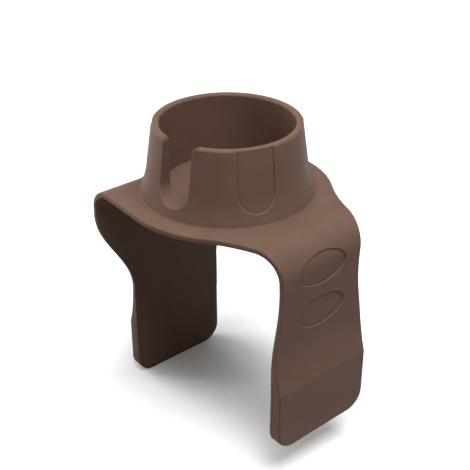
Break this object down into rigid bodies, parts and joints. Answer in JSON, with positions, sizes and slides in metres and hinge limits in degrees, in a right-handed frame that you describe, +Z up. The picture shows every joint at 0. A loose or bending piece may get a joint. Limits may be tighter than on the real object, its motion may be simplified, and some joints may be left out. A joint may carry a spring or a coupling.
{
  "type": "sofa arm cup holder",
  "caption": "Weighted soft cup holder for a sofa arm: a flared cup ring with a handle slot on a saddle, with strap flaps that fold down each side.",
  "frame": {"origin": "on the saddle's underside, below the cup's axis", "axes": "+Z up along the cup's axis, +X towards the front flap, +Y along the arm"},
  "size_m": [0.165, 0.1402, 0.22],
  "materials": {
    "silicone": "matte mocha brown moulded silicone",
    "cover_silicone": "matte dark brown moulded silicone",
    "steel": "plain cut steel plate"
  },
  "bodies": {
    "saddle": {"cup_saddle": "silicone"},
    "front_bend_upper": {"front_bend_upper": "silicone"},
    "front_bend_lower": {"front_bend_lower": "silicone"},
    "front_flap": {"front_flap": "silicone", "front_weight_plate": "steel", "front_pocket_cover": "cover_silicone"},
    "back_bend": {"back_bend": "silicone"},
    "back_flap": {"back_flap": "silicone", "back_weight_plate": "steel", "back_pocket_cover": "cover_silicone"}
  },
  "joints": [
    {"name": "front_fold", "type": "hinge", "parent": "saddle", "child": "front_bend_upper", "pos_m": [0.07112, 0, 0.00345], "axis": [0, -1, 0], "range_deg": [0, 22.5]},
    {"name": "front_fold_middle", "type": "hinge", "parent": "front_bend_upper", "child": "front_bend_lower", "pos_m": [0.08495, 0, -0.00228], "axis": [0, -1, 0], "range_deg": [0, 45]},
    {"name": "front_fold_end", "type": "hinge", "parent": "front_bend_lower", "child": "front_flap", "pos_m": [0.09067, 0, -0.0161], "axis": [0, -1, 0], "range_deg": [0, 22.5]},
    {"name": "back_fold", "type": "hinge", "parent": "saddle", "child": "back_bend", "pos_m": [-0.06067, 0, -0.00632], "axis": [0, 1, 0], "range_deg": [0, 75]},
    {"name": "back_fold_end", "type": "hinge", "parent": "back_bend", "child": "back_flap", "pos_m": [-0.06329, 0, -0.0161], "axis": [0, 1, 0], "range_deg": [0, 15]}
  ],
  "couplings": [
    {"joint": "front_fold_middle", "follows": "front_fold", "ratio": 2},
    {"joint": "front_fold_end", "follows": "front_fold", "ratio": 1},
    {"joint": "back_fold_end", "follows": "back_fold", "ratio": 0.2}
  ]
}
